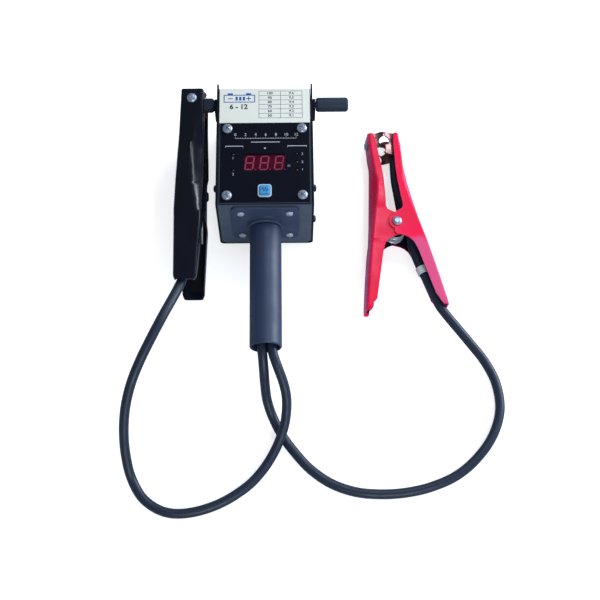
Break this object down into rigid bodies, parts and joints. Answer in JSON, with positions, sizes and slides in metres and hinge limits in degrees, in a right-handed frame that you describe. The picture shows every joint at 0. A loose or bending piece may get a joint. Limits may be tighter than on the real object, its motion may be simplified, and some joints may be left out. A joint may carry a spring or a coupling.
{
  "type": "digital load tester",
  "caption": "Hand-held battery load tester: folded steel box with a digital fascia, tube handle, side pegs and two heavy sprung jaw clamps on thick cables, one clamp parked on a peg.",
  "frame": {"origin": "middle of the box's flat back face, which the tester rests on", "axes": "+X to the right and +Y to the top of the box as its fascia is read, +Z out of the fascia; the handle points along -Y"},
  "size_m": [0.3255, 0.3684, 0.0901],
  "materials": {
    "navy_enamel": "satin navy-black enamel",
    "slate_enamel": "satin slate enamel",
    "fascia_black": "smooth black print on steel",
    "label_silver": "satin",
    "zinc_plate": "bright zinc plate",
    "display_red": "dark red",
    "red_window": "clear dark red",
    "led_red": "clear dark red",
    "board_green": "solder-resist green",
    "button_blue": "smooth blue",
    "bezel_pale": "smooth pale blue",
    "switch_black": "black moulding",
    "nichrome": "heat-dulled resistance strip",
    "ceramic": "unglazed white ceramic",
    "phenolic": "brown board",
    "handle_plastic": "satin dark blue-grey",
    "peg_rubber": "matt dark grey",
    "cable_jacket": "satin dark blue-grey",
    "black_enamel": "gloss black",
    "red_enamel": "gloss red",
    "copper": "copper-plated steel"
  },
  "bodies": {
    "tester": {"rear_housing": "navy_enamel", "peg_base_left": "navy_enamel", "peg_base_right": "navy_enamel", "front_cover": "slate_enamel", "fascia_panel": "fascia_black", "handle_flange": "fascia_black", "label_plate": "label_silver", "fascia_screw_1": "zinc_plate", "fascia_screw_2": "zinc_plate", "fascia_screw_3": "zinc_plate", "fascia_screw_4": "zinc_plate", "flange_screw_1": "zinc_plate", "flange_screw_2": "zinc_plate", "flange_screw_3": "zinc_plate", "flange_screw_4": "zinc_plate", "side_screw_1": "zinc_plate", "side_screw_2": "zinc_plate", "side_screw_3": "zinc_plate", "peg_bolt_left": "zinc_plate", "peg_bolt_right": "zinc_plate", "display_lens": "red_window", "display_module": "display_red", "circuit_board": "board_green", "result_led_1": "led_red", "result_led_2": "led_red", "result_led_3": "led_red", "state_led_1": "led_red", "state_led_2": "led_red", "button_bezel": "bezel_pale", "button_switch": "switch_black", "load_element": "nichrome", "insulator_left": "ceramic", "insulator_right": "ceramic", "terminal_board": "phenolic", "handle_tube": "handle_plastic", "peg_sleeve_left": "peg_rubber", "peg_sleeve_right": "peg_rubber", "red_cable_arm": "red_enamel", "red_cable_jaw": "copper", "red_cable_jaw_rivet": "zinc_plate", "red_pivot_rivet": "zinc_plate", "red_spring": "zinc_plate", "red_cable_strap": "zinc_plate", "red_cable": "cable_jacket", "black_cable_arm": "black_enamel", "black_cable_jaw": "copper", "black_cable_jaw_rivet": "zinc_plate", "black_pivot_rivet": "zinc_plate", "black_spring": "zinc_plate", "black_cable_strap": "zinc_plate", "black_cable": "cable_jacket"},
    "red_moving_side": {"red_moving_arm": "red_enamel", "red_moving_jaw": "copper", "red_moving_jaw_rivet": "zinc_plate"},
    "black_moving_side": {"black_moving_arm": "black_enamel", "black_moving_jaw": "copper", "black_moving_jaw_rivet": "zinc_plate"},
    "button": {"test_button": "button_blue"}
  },
  "joints": [
    {"name": "red_clamp_pivot", "type": "hinge", "parent": "tester", "child": "red_moving_side", "pos_m": [0.1153, -0.0495, 0.0153], "axis": [0.1217, 0.0489, 0.9914], "range_deg": [0, 28], "stiffness_Nm_per_rad": 3, "springref_deg": -1.72, "deforming": ["red_spring"]},
    {"name": "black_clamp_pivot", "type": "hinge", "parent": "tester", "child": "black_moving_side", "pos_m": [-0.06389, -0.03771, 0.05613], "axis": [-0.9985, 0.0257, -0.0488], "range_deg": [0, 21], "stiffness_Nm_per_rad": 3, "springref_deg": -1.72, "deforming": ["black_spring"]},
    {"name": "test_button_press", "type": "slide", "parent": "tester", "child": "button", "axis": [0, 0, -1], "range_m": [0, 0.001], "stiffness_N_per_m": 400}
  ]
}
